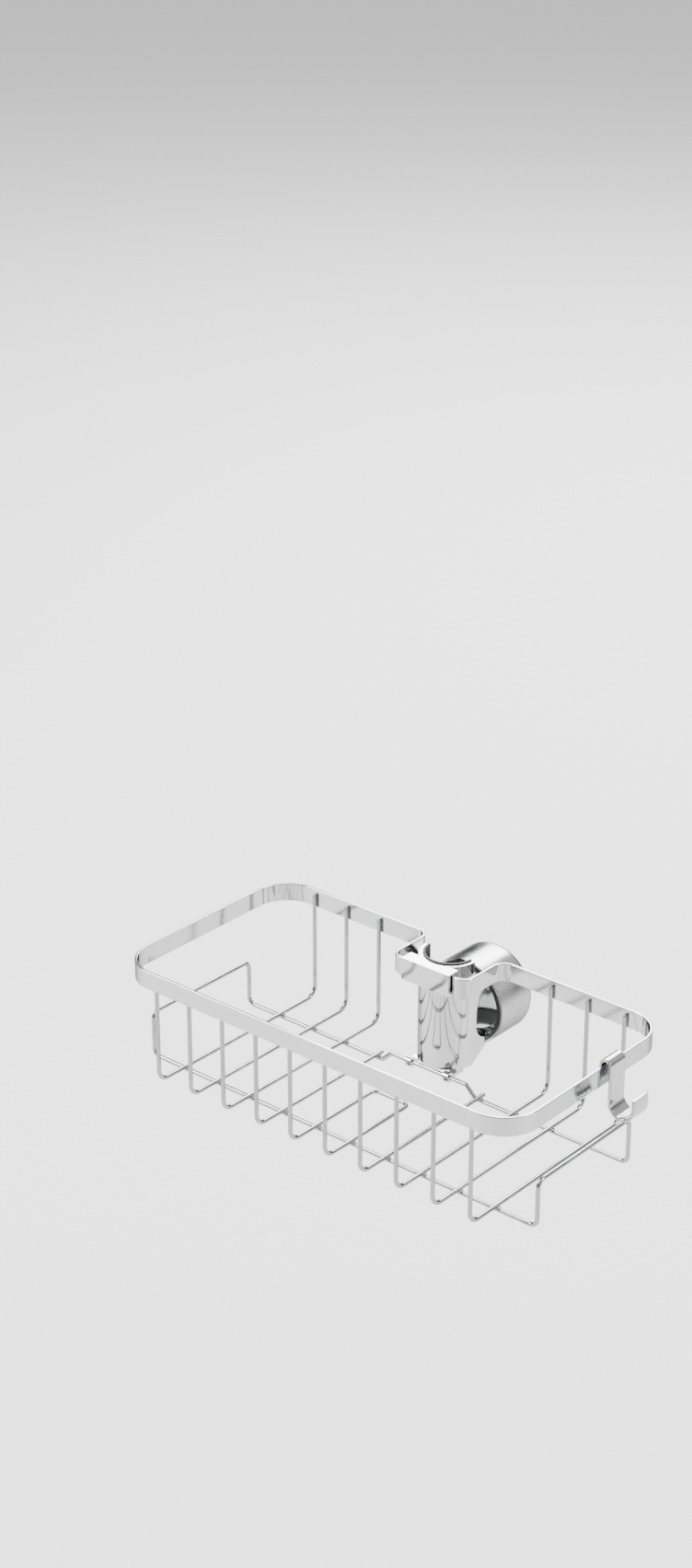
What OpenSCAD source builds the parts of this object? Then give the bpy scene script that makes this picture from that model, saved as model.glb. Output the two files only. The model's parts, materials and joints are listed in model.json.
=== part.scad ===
// Shower caddy for a riser rail: a wire basket with a flat strip rim, held by a clamp with a large knob.
// Millimetres. The rail axis is Z through the origin, the rim's top edge is z = 0,
// the basket's front faces -Y and the knob faces +Y, towards the wall.

/* [Rail] */
// Diameter of the riser rail that the clamp holds
rail_d = 25; // [24:0.5:26]

/* [Rim] */
// Width of the rim over its outer faces
rim_w = 246; // [220:2:280]
// Depth of the rim, front face to back face
rim_d = 124; // [112:2:140]
// Distance from the rail axis to the rim's back face
rim_back = 13; // [12:0.5:14]
// Outer radius of the rim's corners
rim_r = 20; // [14:1:28]
// Height of the flat strip
strip_h = 10; // [8:0.5:12]
// Thickness of the flat strip
strip_t = 1.5; // [1.2:0.1:1.8]
// Inside half width of the notch that goes round the clamp
notch_half_w = 22.5; // [21:0.5:24]
// Inside depth of the notch in front of the rail axis
notch_front = 16.3; // [16.3:0.1:18]

/* [Wires] */
// Diameter of the basket's wires
wire_d = 2.2; // [2:0.1:3]
// Distance between neighbouring cross wires
wire_pitch = 22; // [18:0.5:24]
// Depth of the floor wires' centre below the rim's top edge
floor_depth = 62; // [60:1:66]
// Centre line radius where a cross wire turns from wall to floor
wire_bend_r = 6; // [4:0.5:8]
// Distance of the front floor wire in front of the rail axis
frame_front = 88; // [80:1:92]
// Distance of the back floor wire in front of the rail axis
frame_back = 16; // [16:0.5:18]
// Depth of the raised side bars' centre below the rim's top edge
side_bar_depth = 39.5; // [30:0.5:46]
// Distance of the centre loop's cross run in front of the rail axis
loop_end = 45; // [40:1:60]

/* [Clamp] */
// Outer radius of the saddle round the rail
saddle_r = 15.8; // [15.4:0.1:16]
// Wall thickness of the saddle
saddle_wall = 2.1; // [1.8:0.1:2.2]
// Lower end of the saddle below the rim's top edge
saddle_depth = 57; // [54:1:57]
// Top face of the saddle above the rim's top edge
saddle_top = 1.4; // [1.2:0.1:2]
// Height of the pressure screw's axis below the rim's top edge
screw_depth = 32; // [28:1:36]
// Radius of the round flange behind the rail
flange_r = 20.2; // [18:0.1:21]
// Width of the hook plate over the rim's notch
hook_plate_w = 30; // [24:1:34]

/* [Knob] */
// Radius of the knob
knob_r = 23.5; // [22:0.5:25]
// Distance of the knob's open edge behind the rail axis
knob_front = 13.3; // [13.3:0.1:14]
// Distance of the knob's closed end behind the rail axis
knob_end = 40; // [38:1:44]
// Wall thickness of the knob's shell
knob_wall = 1.2; // [1:0.1:1.6]
// Distance that the pad moves back when the knob is opened
pad_travel = 6; // [3:1:6]

/* [Side hook] */
// Width of the hook along the rim
hook_w = 12; // [8:1:16]
// Thickness of the hook's metal strip
hook_t = 1.5; // [1.2:0.1:2]
// Distance of the hook's middle in front of the rail axis
hook_place = 34; // [20:0.5:80]
// Depth of the hook's lowest point below the rim's top edge
hook_depth = 26; // [22:1:30]
// Outer radius of the hook's bottom bend
hook_bend_r = 7.5; // [6:0.5:9]

/* [Hidden] */
$fn = 64;

wire_r = wire_d / 2;
// Depth by which a welded wire sinks into the metal that it is welded to
weld = 0.1;
rail_r = rail_d / 2;
rim_front = rim_d - rim_back;
// Places of the wires' walls, floor and tips
wall_front_y = -rim_front + strip_t + wire_r - weld;
wall_back_y = rim_back - strip_t - wire_r + weld;
floor_z = -floor_depth;
wire_tip_z = -3.5;
// The frame wire lies under the cross wires
frame_z = floor_z - wire_d + weld;
frame_x = rim_w / 2 - 0.8;
frame_bend_r = 4;
bar_z = -side_bar_depth;
// The back floor wire steps up where the saddle rests on it
step_z = -58.4;
step_inner_x = 24;
step_outer_x = 30;
short_wire_end = 13.3;
loop_bend_r = 3.5;
// The notch's corners
notch_front_r = 4.5;
notch_mouth_r = 7.5;

// Clamp: the saddle's side walls run back to the flange, round a window for the pad
liner_r = saddle_r - saddle_wall - 0.05;
liner_lip = 0.6;
liner_h = 9;
screw_z = -screw_depth;
flange_y = 13;
arm_corner_r = 5;
arm_slope = 0.69;
neck_z = 2 * screw_z + saddle_depth;
window_front = 2.2;
window_half_h = 13;
window_r = 9;
flange_t = 3;
guide_r = 7.1;
guide_end = 27.2;
barrel_r = 11;
boss_r = 9;
boss_end = 33.8;
thread_r = 5;
plate_t = 1.4;
plate_gap = 0.9;
plate_front = notch_front + strip_t + plate_gap + plate_t;
plate_back = 12.5;
plate_depth = 10.6;
clip_x = 12;
clip_w = 3.5;
clip_r = 2.6;

// Pad, spindle and knob
pad_r = 7;
facing_t = 2.2;
pad_back = 20.6;
journal_r = 3;
journal_front = 15.7;
core_front = 34.2;
knob_inner_r = knob_r - knob_wall;
knob_end_wall = 1.7;
knob_edge_r = 4;

// Side hook: the fold over the rim, and the bend that carries what hangs on it
fold_r = 3.5;
fold_z = 0;
fold_x = rim_w / 2 - strip_t - 0.3 - hook_t + fold_r;
shank_x = fold_x + fold_r;
hook_bend_x = shank_x - hook_t + hook_bend_r;
hook_bend_z = -hook_depth + hook_bend_r;
hook_tip_z = hook_bend_z + 6;
inner_leg_z = -8;

chrome = [0.82, 0.83, 0.85];
bright_wire = [0.74, 0.75, 0.77];
satin = [0.66, 0.67, 0.69];
black = [0.06, 0.06, 0.07];
grey = [0.62, 0.63, 0.64];
steel = [0.55, 0.56, 0.58];

// ---------------------------------------------------------------- shared shapes

// A bar of round wire along one axis, from one point to a length
module rod_x(p, len, r = wire_r) {
    translate(p) rotate([0, 90, 0]) cylinder(r = r, h = len);
}

module rod_y(p, len, r = wire_r) {
    translate(p) rotate([-90, 0, 0]) cylinder(r = r, h = len);
}

module rod_z(p, len, r = wire_r) {
    translate(p) cylinder(r = r, h = len);
}

// A quarter bend in the XY plane: it starts at +X of its centre and ends at +Y of it
module quarter(bend_r, r = wire_r) {
    rotate_extrude(angle = 90) translate([bend_r, 0]) circle(r = r);
}

// A quarter bend in the YZ plane, round a centre, below it and towards -Y or +Y
module floor_bend(y, z, bend_r, side) {
    translate([0, y, z])
        mirror([0, side > 0 ? 0 : 1, 0])
            rotate([0, 90, 0])
                quarter(bend_r);
}

// A shape repeated on the other side of the rail
module both_sides() {
    children();
    mirror([1, 0, 0]) children();
}

// A rounded rectangle from its left, front, right and back edges
module round_rect(x0, y0, x1, y1, r) {
    translate([x0 + r, y0]) square([x1 - x0 - 2 * r, y1 - y0]);
    translate([x0, y0 + r]) square([x1 - x0, y1 - y0 - 2 * r]);
    for (x = [x0 + r, x1 - r], y = [y0 + r, y1 - r])
        translate([x, y]) circle(r = r);
}

// ---------------------------------------------------------------- rim

// The space that the notch leaves for the clamp, grown by a distance
module notch(grow) {
    half_w = notch_half_w + grow;
    front_r = notch_front_r + grow;
    mouth_r = notch_mouth_r - grow;
    mouth_y = rim_back - grow;
    round_rect(-half_w, -notch_front - grow, half_w, rim_back + 10, front_r);
    both_sides()
        difference() {
            translate([half_w - 0.1, mouth_y - mouth_r]) square([mouth_r + 0.1, mouth_r + 5]);
            translate([half_w + mouth_r, mouth_y - mouth_r]) circle(r = mouth_r);
            translate([half_w + mouth_r, mouth_y - mouth_r]) square(mouth_r + 6);
        }
}

// The rim's plan, moved inwards by a distance
module rim_plan(inset) {
    difference() {
        round_rect(inset - rim_w / 2, inset - rim_front, rim_w / 2 - inset, rim_back - inset, rim_r - inset);
        notch(inset);
    }
}

module rim_strip() {
    color(chrome)
        translate([0, 0, -strip_h])
            linear_extrude(height = strip_h)
                difference() {
                    rim_plan(0);
                    rim_plan(strip_t);
                }
}

// ---------------------------------------------------------------- wires

function wire_x(number) = (number - 5.5) * wire_pitch;

// One upright with its rounded tip, from the rim down to the floor bend
module upright(y) {
    rod_z([0, y, floor_z + wire_bend_r], wire_tip_z - floor_z - wire_bend_r);
    translate([0, y, wire_tip_z]) sphere(r = wire_r);
}

// Front upright, its bend, and a floor run that ends at y
module front_half(end_y) {
    upright(wall_front_y);
    floor_bend(wall_front_y + wire_bend_r, floor_z + wire_bend_r, wire_bend_r, -1);
    rod_y([0, wall_front_y + wire_bend_r, floor_z], end_y - wall_front_y - wire_bend_r);
}

module cross_wire(number) {
    color(bright_wire)
        translate([wire_x(number), 0, 0]) {
            front_half(wall_back_y - wire_bend_r);
            floor_bend(wall_back_y - wire_bend_r, floor_z + wire_bend_r, wire_bend_r, 1);
            upright(wall_back_y);
        }
}

module short_wire(number) {
    color(bright_wire)
        translate([wire_x(number), 0, 0]) {
            front_half(-short_wire_end);
            translate([0, -short_wire_end, floor_z]) sphere(r = wire_r);
        }
}

// Two front uprights whose floor runs meet in one cross run
module centre_loop_wire() {
    half_x = wire_pitch / 2;
    color(bright_wire) {
        both_sides() {
            translate([half_x, 0, 0]) front_half(-loop_end - loop_bend_r);
            translate([half_x - loop_bend_r, -loop_end - loop_bend_r, floor_z]) quarter(loop_bend_r);
        }
        rod_x([-half_x + loop_bend_r, -loop_end, floor_z], wire_pitch - 2 * loop_bend_r);
    }
}

// One upright of a side bar, with its bend into a floor run and its bend into the bar
module bar_upright(y, inwards) {
    translate([frame_x - frame_bend_r, y, frame_z + frame_bend_r])
        rotate([-90, 0, 0])
            quarter(frame_bend_r);
    rod_z([frame_x, y, frame_z + frame_bend_r], bar_z - frame_z - 2 * frame_bend_r);
    translate([frame_x, y + inwards * frame_bend_r, bar_z - frame_bend_r])
        mirror([0, inwards > 0 ? 1 : 0, 0])
            rotate([90, 0, 90])
                quarter(frame_bend_r);
}

// The closed loop under the cross wires, with a raised bar at each end of the basket
module floor_frame_wire() {
    run = frame_x - frame_bend_r;
    step_len = sqrt(pow(step_outer_x - step_inner_x, 2) + pow(step_z - frame_z, 2));
    step_angle = atan2(step_outer_x - step_inner_x, step_z - frame_z);
    color(bright_wire) {
        rod_x([-run, -frame_front, frame_z], 2 * run);
        rod_x([-step_inner_x, -frame_back, step_z], 2 * step_inner_x);
        both_sides() {
            bar_upright(-frame_front, 1);
            bar_upright(-frame_back, -1);
            rod_y([frame_x, -frame_front + frame_bend_r, bar_z], frame_front - frame_back - 2 * frame_bend_r);
            rod_x([step_outer_x, -frame_back, frame_z], run - step_outer_x);
            translate([step_outer_x, -frame_back, frame_z]) sphere(r = wire_r);
            translate([step_inner_x, -frame_back, step_z]) sphere(r = wire_r);
            translate([step_outer_x, -frame_back, frame_z])
                rotate([0, -step_angle, 0])
                    cylinder(r = wire_r, h = step_len);
        }
    }
}

// ---------------------------------------------------------------- clamp

// Plan of a wall round the front half of the rail
module half_ring(outer, inner) {
    difference() {
        circle(r = outer);
        circle(r = inner);
        translate([-outer - 1, 0]) square([2 * outer + 2, outer + 1]);
    }
}

// Plan of the saddle with its side walls, which turn in to meet the flange
module saddle_plan() {
    difference() {
        union() {
            circle(r = saddle_r);
            translate([-saddle_r, 0]) square([2 * saddle_r, flange_y - arm_corner_r]);
            translate([-saddle_r + arm_corner_r, 0]) square([2 * (saddle_r - arm_corner_r), flange_y + 1]);
            for (side = [-1, 1])
                translate([side * (saddle_r - arm_corner_r), flange_y - arm_corner_r])
                    circle(r = arm_corner_r);
        }
        circle(r = saddle_r - saddle_wall);
        translate([-saddle_r, flange_y + 1]) square(2 * saddle_r);
    }
}

// YZ outline of what is cut from the side walls: the window, and the slope under the lower arm
module wall_cuts() {
    reach = flange_y + 2;
    end = saddle_depth + screw_z;
    for (side = [-1, 1])
        translate([window_front + window_r, screw_z + side * (window_half_h - window_r)])
            circle(r = window_r);
    translate([window_front, screw_z - window_half_h + window_r])
        square([reach - window_front, 2 * (window_half_h - window_r)]);
    translate([window_front + window_r, screw_z - window_half_h])
        square([reach - window_front - window_r, 2 * window_half_h]);
    for (side = [0, 1])
        translate([0, screw_z])
            mirror([0, side])
                polygon([[-1, -end], [-1, -end - 5], [reach, -end - 5], [reach, arm_slope * (reach + 1) - end]]);
}

module saddle() {
    difference() {
        translate([0, 0, -saddle_depth]) linear_extrude(height = neck_z + saddle_depth) saddle_plan();
        translate([-saddle_r - 1, 0, 0])
            rotate([90, 0, 90])
                linear_extrude(height = 2 * saddle_r + 2)
                    wall_cuts();
    }
    translate([0, 0, neck_z - 1])
        linear_extrude(height = saddle_top - neck_z + 1)
            half_ring(saddle_r, saddle_r - saddle_wall);
}

// A tab under the saddle's wall, with a hook round the back floor wire
module wire_clip() {
    x0 = clip_x - clip_w / 2;
    difference() {
        union() {
            rod_x([x0, -frame_back, step_z], clip_w, clip_r);
            translate([x0, -frame_back, step_z - 1.2]) cube([clip_w, frame_back - 10, 2]);
            translate([0, 0, step_z - 1.2])
                linear_extrude(height = 3 - step_z - saddle_depth)
                    intersection() {
                        half_ring(saddle_r, saddle_r - saddle_wall);
                        translate([x0, -saddle_r]) square([clip_w, saddle_r - 5]);
                    }
        }
        rod_x([x0 - 1, -frame_back, step_z], clip_w + 2, wire_r + 0.05);
        translate([x0 - 1, -frame_back - 4, step_z - 0.8]) cube([clip_w + 2, 4, 1.6]);
    }
}

module clamp_saddle() {
    color(chrome)
        difference() {
            union() {
                saddle();
                rod_y([0, flange_y, screw_z], flange_t, flange_r);
                rod_y([0, flange_y, screw_z], guide_end + 2 - flange_y, barrel_r);
                rod_y([0, flange_y, screw_z], boss_end - flange_y, boss_r);
                hook_plate();
                both_sides() wire_clip();
            }
            rod_y([0, flange_y - 6, screw_z], guide_end - flange_y + 6, guide_r);
            rod_y([0, guide_end - 1, screw_z], boss_end, thread_r + 0.05);
        }
}

// The plate that hooks over the strip in the notch
module hook_plate() {
    half_w = hook_plate_w / 2;
    difference() {
        translate([-half_w, -plate_front, 0.3]) cube([hook_plate_w, plate_front - plate_back, saddle_top - 0.3]);
        translate([0, 0, -1]) cylinder(r = saddle_r - 1, h = 4);
    }
    translate([-half_w, -plate_front, -plate_depth]) cube([hook_plate_w, plate_t, plate_depth + saddle_top]);
}

// A band of rubber between the saddle and the rail, from a height up
module liner_band(z) {
    color(black)
        translate([0, 0, z])
            linear_extrude(height = liner_h)
                half_ring(liner_r, rail_r);
}

module upper_liner() {
    liner_band(saddle_top + liner_lip - liner_h);
}

module lower_liner() {
    liner_band(-saddle_depth - liner_lip);
}

module flange_ring() {
    color(black)
        difference() {
            rod_y([0, flange_y + 0.4, screw_z], 2, knob_inner_r - 0.3);
            rod_y([0, flange_y - 1, screw_z], 5, flange_r);
        }
}

// ---------------------------------------------------------------- pad and spindle

// The pad's round block, kept behind a wall of the given radius round the rail axis
module pad_block(behind, back) {
    difference() {
        rod_y([0, 1, screw_z], back - 1, pad_r);
        translate([0, 0, -saddle_depth]) cylinder(r = behind, h = saddle_depth);
    }
}

module pressure_pad() {
    color(grey)
        difference() {
            pad_block(rail_r + facing_t, pad_back);
            rod_y([0, 1, screw_z], 17.2, 5.5);
            rod_y([0, 1, screw_z], 30, journal_r + 0.05);
        }
}

module pad_facing() {
    color(grey)
        intersection() {
            pad_block(rail_r, pad_back);
            translate([0, 0, -saddle_depth]) cylinder(r = rail_r + facing_t, h = saddle_depth);
        }
}

module spindle() {
    color(steel)
        difference() {
            union() {
                rod_y([0, journal_front, screw_z], 10, journal_r);
                rod_y([0, pad_back + 0.3, screw_z], knob_end - knob_end_wall - 2.3 - pad_back, thread_r);
                spindle_head(core_front + 0.8, 7.5, 3);
            }
            clip_groove(journal_r + 1, 2.4);
        }
}

// A hexagon on the spindle's axis
module spindle_head(y, r, h) {
    translate([0, y, screw_z]) rotate([-90, 0, 0]) cylinder(r = r, h = h, $fn = 6);
}

// The groove near the spindle's tip that the clip sits in
module clip_groove(outer, inner) {
    difference() {
        rod_y([0, 16.95, screw_z], 1, outer);
        rod_y([0, 16, screw_z], 2, inner);
    }
}

module spindle_clip() {
    color(steel)
        difference() {
            rod_y([0, 17, screw_z], 0.9, 4.8);
            rod_y([0, 16, screw_z], 2, 2.45);
            translate([-1.5, 16, screw_z - 6]) cube([3, 2, 6]);
        }
}

// ---------------------------------------------------------------- knob

// Half outline of a cup that is open at its front edge, with a rounded closed end
module cup_outline(r, end) {
    square([r - knob_edge_r, end]);
    square([r, end - knob_edge_r]);
    translate([r - knob_edge_r, end - knob_edge_r])
        intersection() {
            circle(r = knob_edge_r);
            square(knob_edge_r);
        }
}

module knob_shell() {
    depth = knob_end - knob_front;
    color(chrome)
        translate([0, knob_front, screw_z])
            rotate([-90, 0, 0])
                rotate_extrude()
                    difference() {
                        cup_outline(knob_r, depth);
                        translate([0, -1]) square([knob_inner_r, depth - knob_end_wall - 2]);
                        translate([0, -1]) square([knob_inner_r - 3, depth - knob_end_wall + 1]);
                    }
}

// The insert that turns the spindle's hexagonal head
module knob_core() {
    core_len = knob_end - knob_end_wall - 0.1 - core_front;
    color(black)
        difference() {
            union() {
                rod_y([0, core_front, screw_z], core_len - 3.1, knob_inner_r - 0.05);
                rod_y([0, core_front, screw_z], core_len, knob_inner_r - 3.1);
            }
            rod_y([0, core_front - 1, screw_z], 20, thread_r + 0.05);
            spindle_head(core_front + 0.75, 7.55, 3.1);
        }
}

// ---------------------------------------------------------------- side hook

// The strip's profile in XZ: inner leg, fold over the rim, shank, bottom bend and tip
module hook_profile() {
    translate([fold_x - fold_r, inner_leg_z]) square([hook_t, fold_z - inner_leg_z]);
    translate([fold_x, fold_z])
        difference() {
            circle(r = fold_r);
            circle(r = fold_r - hook_t);
            translate([-fold_r - 1, -fold_r - 1]) square([2 * fold_r + 2, fold_r + 1]);
        }
    translate([shank_x - hook_t, hook_bend_z]) square([hook_t, fold_z - hook_bend_z]);
    translate([hook_bend_x, hook_bend_z])
        difference() {
            circle(r = hook_bend_r);
            circle(r = hook_bend_r - hook_t);
            translate([-hook_bend_r - 1, 0]) square([2 * hook_bend_r + 2, hook_bend_r + 1]);
        }
    translate([hook_bend_x + hook_bend_r - hook_t, hook_bend_z]) square([hook_t, hook_tip_z - hook_bend_z]);
}

module side_hook() {
    color(satin)
        translate([0, -hook_place + hook_w / 2, 0])
            rotate([90, 0, 0])
                linear_extrude(height = hook_w)
                    hook_profile();
}

// ---------------------------------------------------------------- nodes

rim_strip();
cross_wire(1);  // cross_wire_1
cross_wire(2);  // cross_wire_2
cross_wire(3);  // cross_wire_3
cross_wire(8);  // cross_wire_8
cross_wire(9);  // cross_wire_9
cross_wire(10);  // cross_wire_10
short_wire(4);  // short_wire_4
short_wire(7);  // short_wire_7
centre_loop_wire();
floor_frame_wire();
clamp_saddle();
upper_liner();
lower_liner();
flange_ring();
pressure_pad();
pad_facing();
spindle();
spindle_clip();
knob_shell();
knob_core();
side_hook();
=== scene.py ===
"""Shower caddy on a rail clamp: a chromed wire basket with a flat strip rim, its clamp, knob and side hook.

Metres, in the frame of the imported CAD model: the rail's axis is Z through the origin, the rim's top edge is
z = 0, the basket's front faces -Y and the knob faces +Y.
"""

import json
import math

import bmesh
import bpy
from mathutils import Matrix, Vector


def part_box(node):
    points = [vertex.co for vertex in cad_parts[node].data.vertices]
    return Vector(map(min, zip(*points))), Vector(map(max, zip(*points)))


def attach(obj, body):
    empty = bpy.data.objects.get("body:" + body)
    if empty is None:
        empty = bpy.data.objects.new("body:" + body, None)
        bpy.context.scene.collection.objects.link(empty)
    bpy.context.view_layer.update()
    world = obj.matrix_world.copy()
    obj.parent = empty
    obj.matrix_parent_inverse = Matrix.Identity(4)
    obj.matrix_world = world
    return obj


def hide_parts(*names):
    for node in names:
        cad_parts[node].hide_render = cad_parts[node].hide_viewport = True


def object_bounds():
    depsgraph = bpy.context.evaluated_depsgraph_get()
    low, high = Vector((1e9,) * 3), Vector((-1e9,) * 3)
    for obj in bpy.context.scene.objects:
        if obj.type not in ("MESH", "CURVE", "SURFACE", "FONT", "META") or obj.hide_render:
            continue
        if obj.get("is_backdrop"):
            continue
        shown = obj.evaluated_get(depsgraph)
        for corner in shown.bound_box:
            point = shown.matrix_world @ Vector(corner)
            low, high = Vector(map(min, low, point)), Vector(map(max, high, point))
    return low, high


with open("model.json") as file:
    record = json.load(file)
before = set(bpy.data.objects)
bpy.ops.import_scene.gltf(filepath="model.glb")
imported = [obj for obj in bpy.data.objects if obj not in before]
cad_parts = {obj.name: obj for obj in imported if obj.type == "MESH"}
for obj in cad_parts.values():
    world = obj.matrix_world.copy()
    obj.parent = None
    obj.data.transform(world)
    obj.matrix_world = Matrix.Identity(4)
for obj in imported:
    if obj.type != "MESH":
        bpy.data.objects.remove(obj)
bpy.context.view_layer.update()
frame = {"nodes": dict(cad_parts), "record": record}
nodes = frame["nodes"]

# ---------------------------------------------------------------- sizes

MM = 0.001

# Camera: where it stands round the rail's axis, and how far the view's middle is from the rim's level
CAMERA_AZIMUTH = 40.5
CAMERA_ELEVATION = 24.2
CAMERA_DISTANCE = 1.354
CAMERA_RIGHT = -0.052
CAMERA_UP = 0.0853
CAMERA_LENS = 62.25

# Floor: its size and its distance under the basket
FLOOR_SIZE = 60
FLOOR_DROP = 0.35
FLOOR_COLOUR = (0.90, 0.90, 0.90)
FLOOR_ROUGHNESS = (0.55, 0.7)

# Sky: the heights (as sines) where its dark part ends and its bright part starts
SKY_DARK_TO = 0.12
SKY_DARK = (0.24, 0.24, 0.245, 1)
SKY_BRIGHT_FROM = 0.5
SKY_BRIGHT = (1.0, 1.0, 1.0, 1)
SKY_STRENGTH = 0.95

# Lamps: where each stands, the point that it faces, its side length and its power in watts
LAMPS = {
    "key": ((-1.3, -1.0, 1.2), (-0.2, -0.3, -0.4), 1.0, 66),
    "side": ((1.7, 0.5, 1.0), (0.3, 0.2, -0.4), 0.9, 42),
    "rear": ((-1.0, 2.0, 1.7), (-0.6, 1.0, -0.4), 1.6, 150),
}

# The rim's strip and its notch round the clamp
STRIP_T = 1.5 * MM
STRIP_EDGE_R = 0.5 * MM
RIM_R = 20 * MM
NOTCH_HALF_W = 22.5 * MM
NOTCH_FRONT = 16.3 * MM
NOTCH_FRONT_R = 4.5 * MM
NOTCH_MOUTH_R = 7.5 * MM

# The side hook's strip: its fold over the rim, its bend and its ends, whose edges are rounded where they turn
# by more than an angle in degrees
HOOK_T = 1.5 * MM
HOOK_EDGE_R = 0.45 * MM
HOOK_FOLD_R = 3.5 * MM
HOOK_BEND_R = 7.5 * MM
HOOK_INNER_LEG = 8 * MM
HOOK_TIP = 6 * MM
HOOK_END_EDGE = 0.25 * MM
HOOK_SHARP_ANGLE = 32

# A weld fillet's half width and half height, in wire radii
WELD_WIDTH = 1.5
WELD_HEIGHT = 0.75

# Fineness: steps in the rim's corners, the notch's bends, the hook's fold, bend and end edges, and in a
# section's rounded corners, and how often a weld fillet is subdivided
RIM_STEPS = 24
NOTCH_STEPS = 12
FOLD_STEPS = 20
BEND_STEPS = 24
END_EDGE_STEPS = 3
SECTION_STEPS = 4
WELD_SUBDIVISIONS = 3

# Noise scales, in features for each metre
HAZE_SCALE = 45
FILM_SCALE = 160
PEEL_SCALE = 2600
LINES_SCALE = 900
DUST_SCALE = 120
GRAIN_SCALE = 2200
FLOOR_SCALE = 300

# Bump heights of the plating's orange peel and of the ground lines
PEEL_HEIGHT = 0.002 * MM
LINES_HEIGHT = 0.012 * MM

# Lowest and highest roughness, as shares of the material's own
HAZE_SPREAD = (0.7, 1.6)
LINES_SPREAD = (0.75, 1.25)
GRAIN_SPREAD = (0.85, 1.15)

# What is left of the colour under film and in ground lines, and what dust adds to black and to greys
FILM_TINT = 0.94
LINES_TINT = 0.86
DUST_ON_BLACK = 0.006
DUST_ON_GREY = 0.6

# How much the plating reflects near grazing
PLATING_EDGE = 0.25


# ---------------------------------------------------------------- shapes

def arc(centre, radius, start, end, steps):
    """Points on an arc from start to end degrees, each with its unit normal away from the centre."""
    stations = []
    for step in range(steps + 1):
        angle = math.radians(start + (end - start) * step / steps)
        normal = Vector((math.cos(angle), math.sin(angle)))
        stations.append((Vector(centre) + normal * radius, normal))
    return stations


def turned(stations):
    """The same points with their normals on the other side."""
    return [(point, -normal) for point, normal in stations]


def rounded_section(width, height, radius):
    """Outline of a rounded rectangle round the origin, counter-clockwise."""
    x, y = width / 2 - radius, height / 2 - radius
    outline = []
    for centre, start in (((x, y), 0), ((-x, y), 90), ((-x, -y), 180), ((x, -y), 270)):
        outline += [point for point, _ in arc(centre, radius, start, start + 90, SECTION_STEPS)]
    return outline


def mesh_object(name, vertices, faces):
    """A smooth-shaded object from vertices and faces."""
    mesh = bpy.data.meshes.new(name)
    mesh.from_pydata([tuple(v) for v in vertices], [], faces)
    mesh.polygons.foreach_set("use_smooth", [True] * len(mesh.polygons))
    obj = bpy.data.objects.new(name, mesh)
    bpy.context.collection.objects.link(obj)
    shading = obj.modifiers.new("flat faces stay flat", "WEIGHTED_NORMAL")
    shading.keep_sharp = True
    return obj


def sweep(name, stations, section, closed):
    """A section carried along stations of (point, side, up); an open sweep gets a cap at each end."""
    vertices = [point + side * u + up * v for point, side, up in stations for u, v in section]
    count, around = len(stations), len(section)
    faces = []
    for i in range(count if closed else count - 1):
        for j in range(around):
            a, b = i * around, (i + 1) % count * around
            k = (j + 1) % around
            faces.append((a + j, b + j, b + k, a + k))
    if not closed:
        faces.append(tuple(range(around)))
        faces.append(tuple(reversed(range((count - 1) * around, count * around))))
    obj = mesh_object(name, vertices, faces)
    tidy = bmesh.new()
    tidy.from_mesh(obj.data)
    bmesh.ops.recalc_face_normals(tidy, faces=tidy.faces)
    tidy.to_mesh(obj.data)
    tidy.free()
    return obj


# ---------------------------------------------------------------- rim

def rim_path():
    """The strip's middle line, counter-clockwise from the front left corner, with outward normals."""
    low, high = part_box("rim_strip")
    half = STRIP_T / 2
    right, front, back = high[0] - RIM_R, low[1] + RIM_R, high[1] - RIM_R
    outer_r, front_r, mouth_r = RIM_R - half, NOTCH_FRONT_R + half, NOTCH_MOUTH_R - half
    mouth = (NOTCH_HALF_W + NOTCH_MOUTH_R, high[1] - NOTCH_MOUTH_R)
    inner = (NOTCH_HALF_W - NOTCH_FRONT_R, NOTCH_FRONT_R - NOTCH_FRONT)
    return (
        arc((-right, front), outer_r, 180, 270, RIM_STEPS)
        + arc((right, front), outer_r, -90, 0, RIM_STEPS)
        + arc((right, back), outer_r, 0, 90, RIM_STEPS)
        + arc(mouth, mouth_r, 90, 180, NOTCH_STEPS)
        + turned(arc(inner, front_r, 0, -90, NOTCH_STEPS))
        + turned(arc((-inner[0], inner[1]), front_r, 270, 180, NOTCH_STEPS))
        + arc((-mouth[0], mouth[1]), mouth_r, 0, 90, NOTCH_STEPS)
        + arc((-right, back), outer_r, 90, 180, RIM_STEPS)
    )


def rim_strip():
    """The flat strip with its rounded edges."""
    low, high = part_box("rim_strip")
    middle = (low[2] + high[2]) / 2
    up = Vector((0, 0, 1))
    stations = [(Vector((*point, middle)), normal.to_3d(), up) for point, normal in rim_path()]
    section = rounded_section(STRIP_T, high[2] - low[2], STRIP_EDGE_R)
    strip = sweep("rim_strip_rounded", stations, section, True)
    paint(strip, "chrome_strip")
    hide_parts("rim_strip")
    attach(strip, "basket")


# ---------------------------------------------------------------- side hook

def hook_path():
    """The hook's middle line in XZ, from the inner leg over the rim to the tip, with normals."""
    low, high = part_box("side_hook")
    half = HOOK_T / 2
    fold = (low[0] + HOOK_FOLD_R, high[2] - HOOK_FOLD_R)
    bend = (high[0] - HOOK_BEND_R, low[2] + HOOK_BEND_R)
    leg = [(Vector((low[0] + half, fold[1] - HOOK_INNER_LEG)), Vector((-1, 0)))]
    tip = [(Vector((high[0] - half, bend[1] + HOOK_TIP)), Vector((-1, 0)))]
    over = arc(fold, HOOK_FOLD_R - half, 180, 0, FOLD_STEPS)
    under = turned(arc(bend, HOOK_BEND_R - half, 180, 360, BEND_STEPS))
    return leg + over + under + tip


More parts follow.
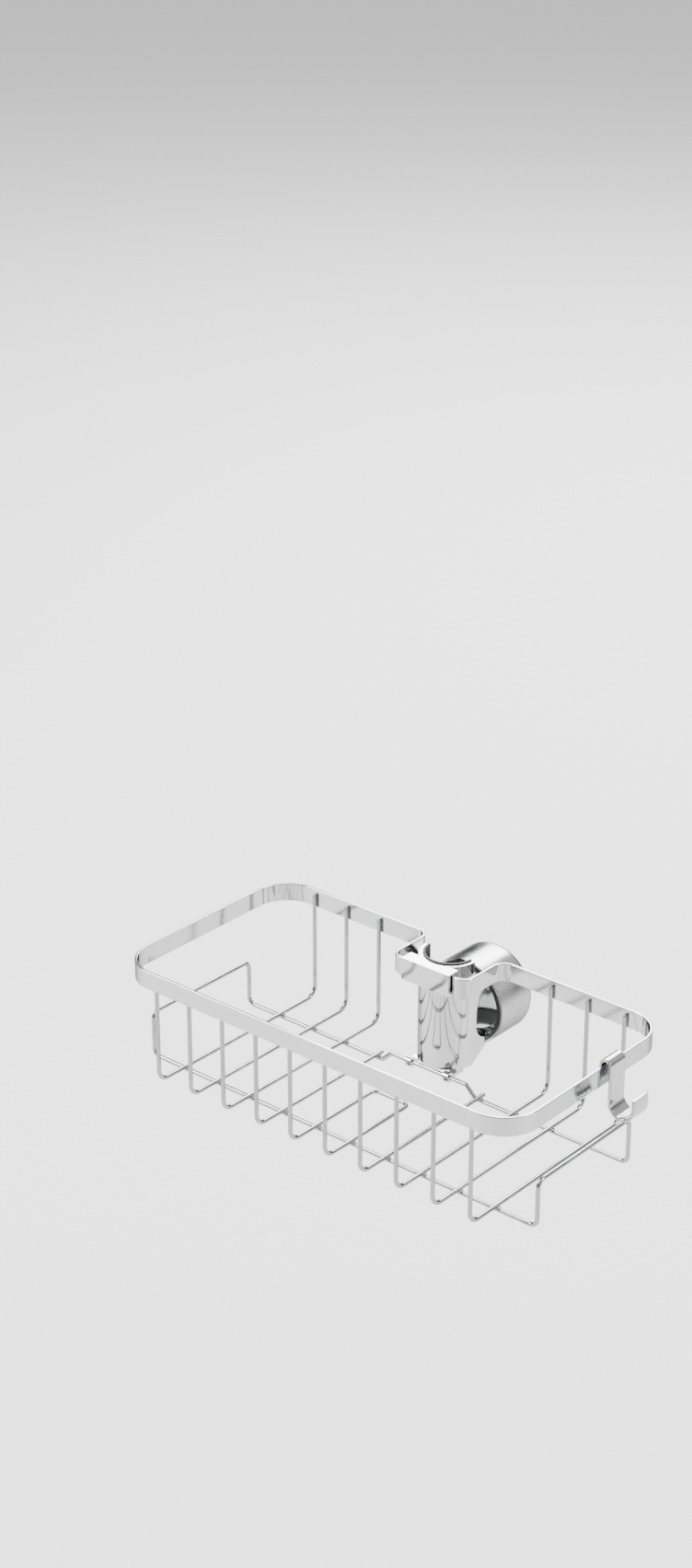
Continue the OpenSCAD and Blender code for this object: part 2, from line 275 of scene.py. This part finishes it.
def soften_ends(hook):
    """Rounds the edges of the strip's cut ends, as deburring does."""
    bevel = hook.modifiers.new("soft edges", "BEVEL")
    bevel.width = HOOK_END_EDGE
    bevel.segments = END_EDGE_STEPS
    bevel.limit_method = "ANGLE"
    bevel.angle_limit = math.radians(HOOK_SHARP_ANGLE)
    bevel.use_clamp_overlap = True
    bevel.harden_normals = True


def side_hook():
    """The hook's strip, with rounded edges and softened ends."""
    low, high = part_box("side_hook")
    path = hook_path()
    middle = (low[1] + high[1]) / 2
    across = Vector((0, 1, 0))
    stations = [(Vector((p[0], middle, p[1])), Vector((n[0], 0, n[1])), across) for p, n in path]
    section = rounded_section(HOOK_T, high[1] - low[1], HOOK_EDGE_R)
    hook = sweep("side_hook_strip", stations, section, False)
    soften_ends(hook)
    paint(hook, "satin_steel")
    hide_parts("side_hook")
    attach(hook, "hook")


# ---------------------------------------------------------------- welds

def welds():
    """The small fillets where the cross wires are welded to the wire under them."""
    blobs = bmesh.new()
    frame_low, frame_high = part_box("floor_frame_wire")
    across = [name for name in nodes if name.startswith(("cross_wire", "short_wire"))]
    wire_r = (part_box("cross_wire_1")[1][0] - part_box("cross_wire_1")[0][0]) / 2
    places = []
    for name in across:
        low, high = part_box(name)
        x = (low[0] + high[0]) / 2
        places += [(x, frame_low[1] + wire_r, low[2]), (x, frame_high[1] - wire_r, low[2])]
    low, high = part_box("centre_loop_wire")
    places += [(x, frame_low[1] + wire_r, low[2]) for x in (low[0] + wire_r, high[0] - wire_r)]
    fillet = Matrix.Diagonal((wire_r * WELD_WIDTH, wire_r * WELD_WIDTH, wire_r * WELD_HEIGHT)).to_4x4()
    for place in places:
        shape = Matrix.Translation(place) @ fillet
        bmesh.ops.create_icosphere(blobs, subdivisions=WELD_SUBDIVISIONS, radius=1, matrix=shape)
    mesh = bpy.data.meshes.new("weld_fillets")
    blobs.to_mesh(mesh)
    blobs.free()
    mesh.polygons.foreach_set("use_smooth", [True] * len(mesh.polygons))
    obj = bpy.data.objects.new("weld_fillets", mesh)
    bpy.context.collection.objects.link(obj)
    paint(obj, "chrome_wire")
    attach(obj, "basket")


# ---------------------------------------------------------------- material nodes

def principled(name, colour, metallic, roughness, edge=1.0):
    """A new material with its Principled shader's sockets set; edge is the reflectance near grazing."""
    material = bpy.data.materials.new(name)
    material.use_nodes = True
    shader = material.node_tree.nodes["Principled BSDF"]
    shader.inputs["Base Color"].default_value = (*colour, 1)
    shader.inputs["Metallic"].default_value = metallic
    shader.inputs["Roughness"].default_value = roughness
    shader.inputs["Specular Tint"].default_value = (edge, edge, edge, 1)
    return material, shader


def object_coordinates(tree, scale):
    """Object coordinates in metres, scaled along each axis."""
    coordinates = tree.nodes.new("ShaderNodeTexCoord")
    mapping = tree.nodes.new("ShaderNodeMapping")
    mapping.inputs["Scale"].default_value = scale
    tree.links.new(coordinates.outputs["Object"], mapping.inputs["Vector"])
    return mapping.outputs["Vector"]


def noise(tree, scale, detail=2.0, stretch=(1, 1, 1), roughness=0.5):
    """A noise texture's value, with features about 1 / scale metres across."""
    texture = tree.nodes.new("ShaderNodeTexNoise")
    texture.inputs["Scale"].default_value = scale
    texture.inputs["Detail"].default_value = detail
    texture.inputs["Roughness"].default_value = roughness
    tree.links.new(object_coordinates(tree, stretch), texture.inputs["Vector"])
    return texture.outputs["Fac"]


def ranged(tree, value, low, high, start=0.3, end=0.7):
    """The value mapped from start..end, where most of a noise's values lie, to low..high."""
    node = tree.nodes.new("ShaderNodeMapRange")
    node.inputs["From Min"].default_value = start
    node.inputs["From Max"].default_value = end
    node.inputs["To Min"].default_value = low
    node.inputs["To Max"].default_value = high
    tree.links.new(value, node.inputs["Value"])
    return node.outputs["Result"]


def mixed(tree, value, colour_a, colour_b):
    """A colour between two, by the value."""
    node = tree.nodes.new("ShaderNodeMix")
    node.data_type = "RGBA"
    node.inputs["A"].default_value = (*colour_a, 1)
    node.inputs["B"].default_value = (*colour_b, 1)
    tree.links.new(value, node.inputs["Factor"])
    return node.outputs["Result"]


def bumped(tree, shader, heights):
    """Bump from (value, distance in metres, strength) triples, one after another."""
    normal = None
    for value, distance, strength in heights:
        bump = tree.nodes.new("ShaderNodeBump")
        bump.inputs["Distance"].default_value = distance
        bump.inputs["Strength"].default_value = strength
        tree.links.new(value, bump.inputs["Height"])
        if normal:
            tree.links.new(normal, bump.inputs["Normal"])
        normal = bump.outputs["Normal"]
    tree.links.new(normal, shader.inputs["Normal"])


# ---------------------------------------------------------------- materials

def chrome(name, colour, roughness, wave, wave_size):
    """Bright plating: a slightly wavy mirror with patches of faint haze and film."""
    material, shader = principled(name, colour, 1.0, roughness, PLATING_EDGE)
    tree = material.node_tree
    haze = noise(tree, HAZE_SCALE, detail=3)
    least, most = HAZE_SPREAD
    tree.links.new(ranged(tree, haze, roughness * least, roughness * most), shader.inputs["Roughness"])
    darker = [c * FILM_TINT for c in colour]
    film = ranged(tree, noise(tree, FILM_SCALE, detail=4), 0, 1)
    tree.links.new(mixed(tree, film, colour, darker), shader.inputs["Base Color"])
    waves = (noise(tree, 1 / wave_size), wave, 1.0)
    peel = (noise(tree, PEEL_SCALE), PEEL_HEIGHT, 1.0)
    bumped(tree, shader, [waves, peel])
    return material


def satin(name, colour, roughness, along):
    """Ground metal strip: fine lines along its length."""
    material, shader = principled(name, colour, 1.0, roughness)
    tree = material.node_tree
    lines = noise(tree, LINES_SCALE, detail=4, stretch=along, roughness=0.6)
    least, most = LINES_SPREAD
    tree.links.new(ranged(tree, lines, roughness * least, roughness * most), shader.inputs["Roughness"])
    darker = [c * LINES_TINT for c in colour]
    tree.links.new(mixed(tree, ranged(tree, lines, 0, 1), colour, darker), shader.inputs["Base Color"])
    bumped(tree, shader, [(lines, LINES_HEIGHT, 1.0)])
    return material


def polymer(name, colour, roughness, grain):
    """Rubber or plastic with a moulded grain and a little paler dust in places."""
    material, shader = principled(name, colour, 0.0, roughness)
    tree = material.node_tree
    speckle = noise(tree, GRAIN_SCALE, detail=3)
    lighter = [c + DUST_ON_BLACK + DUST_ON_GREY * c * (1 - c) for c in colour]
    dust = ranged(tree, noise(tree, DUST_SCALE, detail=3), 0, 1)
    tree.links.new(mixed(tree, dust, colour, lighter), shader.inputs["Base Color"])
    least, most = GRAIN_SPREAD
    tree.links.new(ranged(tree, speckle, roughness * least, roughness * most), shader.inputs["Roughness"])
    bumped(tree, shader, [(speckle, grain, 1.0)])
    return material


# Chrome has the height and length of its waves, satin the stretch of its lines, a polymer its grain's height
MATERIALS = {
    "chrome_strip": chrome("chrome_strip", (0.54, 0.545, 0.55), 0.08, 0.03 * MM, 18 * MM),
    "chrome_wire": chrome("chrome_wire", (0.36, 0.365, 0.37), 0.13, 0.01 * MM, 9 * MM),
    "plated_plastic": chrome("plated_plastic", (0.54, 0.545, 0.55), 0.05, 0.012 * MM, 14 * MM),
    "knob_plating": chrome("knob_plating", (0.44, 0.445, 0.45), 0.26, 0.008 * MM, 12 * MM),
    "satin_steel": satin("satin_steel", (0.46, 0.465, 0.47), 0.22, (1, 1, 0.05)),
    "spindle_steel": satin("spindle_steel", (0.50, 0.51, 0.52), 0.34, (1, 0.2, 1)),
    "grey_plastic": polymer("grey_plastic", (0.52, 0.53, 0.54), 0.34, 0.006 * MM),
    "grey_rubber": polymer("grey_rubber", (0.42, 0.42, 0.43), 0.5, 0.02 * MM),
    "black_rubber": polymer("black_rubber", (0.012, 0.012, 0.013), 0.55, 0.02 * MM),
    "black_plastic": polymer("black_plastic", (0.014, 0.014, 0.015), 0.32, 0.006 * MM),
}


def paint(obj, slot):
    """Gives the object that slot's material alone."""
    obj.data.materials.clear()
    obj.data.materials.append(MATERIALS[slot])


def paint_cad_nodes():
    """Every CAD node that stays gets its own slot's material."""
    for part in frame["record"]["subparts"]:
        for material_slot in nodes[part["node"]].material_slots:
            material_slot.material = MATERIALS[part["material_slot"]]


# ---------------------------------------------------------------- studio

def floor():
    """A large pale floor, well below the basket, which hangs on its rail."""
    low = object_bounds()[0]
    bpy.ops.mesh.primitive_plane_add(size=FLOOR_SIZE, location=(0, 0, low[2] - FLOOR_DROP))
    plane = bpy.context.object
    plane.name = "floor"
    material, shader = principled("floor", FLOOR_COLOUR, 0.0, FLOOR_ROUGHNESS[0])
    tree = material.node_tree
    scuffs = noise(tree, FLOOR_SCALE, detail=3)
    tree.links.new(ranged(tree, scuffs, *FLOOR_ROUGHNESS), shader.inputs["Roughness"])
    plane.data.materials.append(material)
    plane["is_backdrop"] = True


def sky():
    """Soft surroundings, bright overhead and darker near the horizon, for the plating to mirror."""
    world = bpy.data.worlds.new("studio")
    bpy.context.scene.world = world
    world.use_nodes = True
    tree = world.node_tree
    background = tree.nodes["Background"]
    coordinates = tree.nodes.new("ShaderNodeTexCoord")
    separate = tree.nodes.new("ShaderNodeSeparateXYZ")
    ramp = tree.nodes.new("ShaderNodeValToRGB")
    dark, bright = ramp.color_ramp.elements
    dark.position = SKY_DARK_TO
    dark.color = SKY_DARK
    bright.position = SKY_BRIGHT_FROM
    bright.color = SKY_BRIGHT
    tree.links.new(coordinates.outputs["Generated"], separate.inputs["Vector"])
    tree.links.new(separate.outputs["Z"], ramp.inputs["Fac"])
    tree.links.new(ramp.outputs["Color"], background.inputs["Color"])
    background.inputs["Strength"].default_value = SKY_STRENGTH


def lamp(name, position, target, size, power):
    """A square soft light that faces a point."""
    light = bpy.data.lights.new(name, "AREA")
    light.size = size
    light.energy = power
    obj = bpy.data.objects.new(name, light)
    obj.location = position
    obj.rotation_euler = (Vector(target) - Vector(position)).to_track_quat("-Z", "Y").to_euler()
    bpy.context.collection.objects.link(obj)


def studio():
    """The floor, the sky and the lamps."""
    floor()
    sky()
    for name, settings in LAMPS.items():
        lamp(name, *settings)


# ---------------------------------------------------------------- camera

def camera():
    """Stands at the viewing angle, moved sideways and up so that the basket lies low and a little right."""
    azimuth = math.radians(CAMERA_AZIMUTH)
    elevation = math.radians(CAMERA_ELEVATION)
    level = math.cos(elevation)
    back = Vector((math.sin(azimuth) * level, -math.cos(azimuth) * level, math.sin(elevation)))
    right = Vector((math.cos(azimuth), math.sin(azimuth), 0))
    up = back.cross(right)
    data = bpy.data.cameras.new("camera")
    data.lens = CAMERA_LENS
    obj = bpy.data.objects.new("camera", data)
    place = back * CAMERA_DISTANCE + right * CAMERA_RIGHT + up * CAMERA_UP
    obj.matrix_world = Matrix.Translation(place) @ Matrix((right, up, back)).transposed().to_4x4()
    bpy.context.collection.objects.link(obj)
    bpy.context.scene.camera = obj


# ---------------------------------------------------------------- the scene

camera()
paint_cad_nodes()
rim_strip()
side_hook()
welds()
studio()
